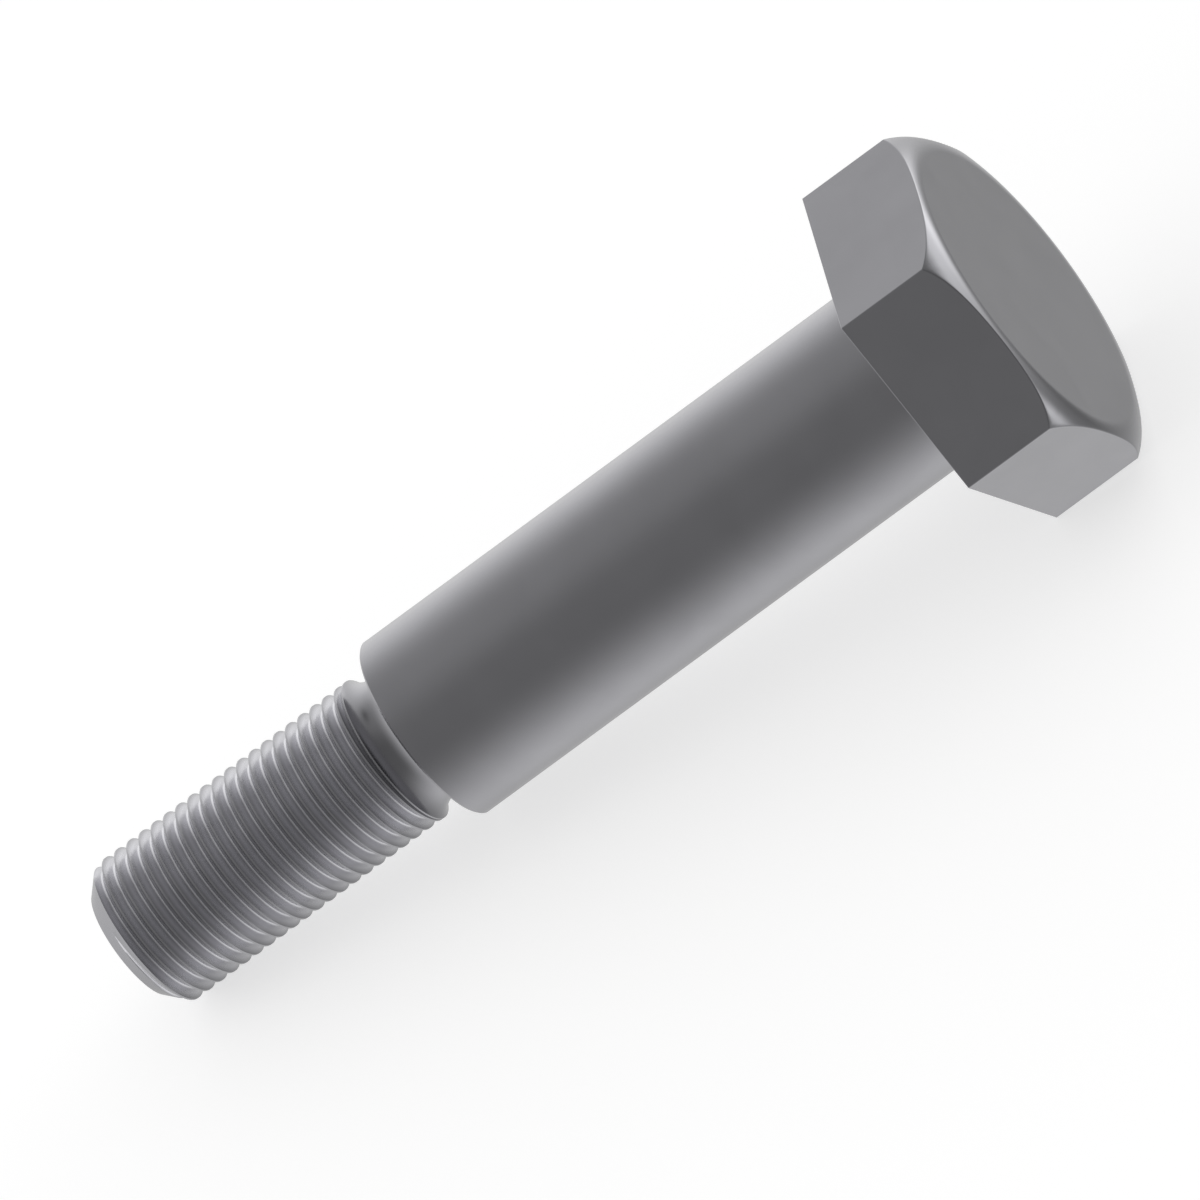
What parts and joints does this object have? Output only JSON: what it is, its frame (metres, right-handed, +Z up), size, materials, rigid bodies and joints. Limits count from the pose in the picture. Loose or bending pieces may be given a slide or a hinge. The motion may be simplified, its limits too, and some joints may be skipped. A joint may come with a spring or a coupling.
{
  "type": "hexagon head shoulder bolt",
  "caption": "Steel bolt with a crowned hexagon head, a plain ground shoulder that locates or pivots a part, a relief neck and a threaded end that takes a nut or a tapped hole.",
  "frame": {"origin": "centre of the head's bearing face, on the bolt's axis", "axes": "+X along the bolt from the thread to the head, +Z up; the axis leans 5.35 degrees, head end up, because the bolt lies on one head flat and the tip of its thread"},
  "size_m": [0.1116, 0.0392, 0.0349],
  "materials": {
    "steel": "fine turned satin steel"
  },
  "bodies": {
    "root": {"shoulder_bolt": "steel"}
  },
  "joints": []
}
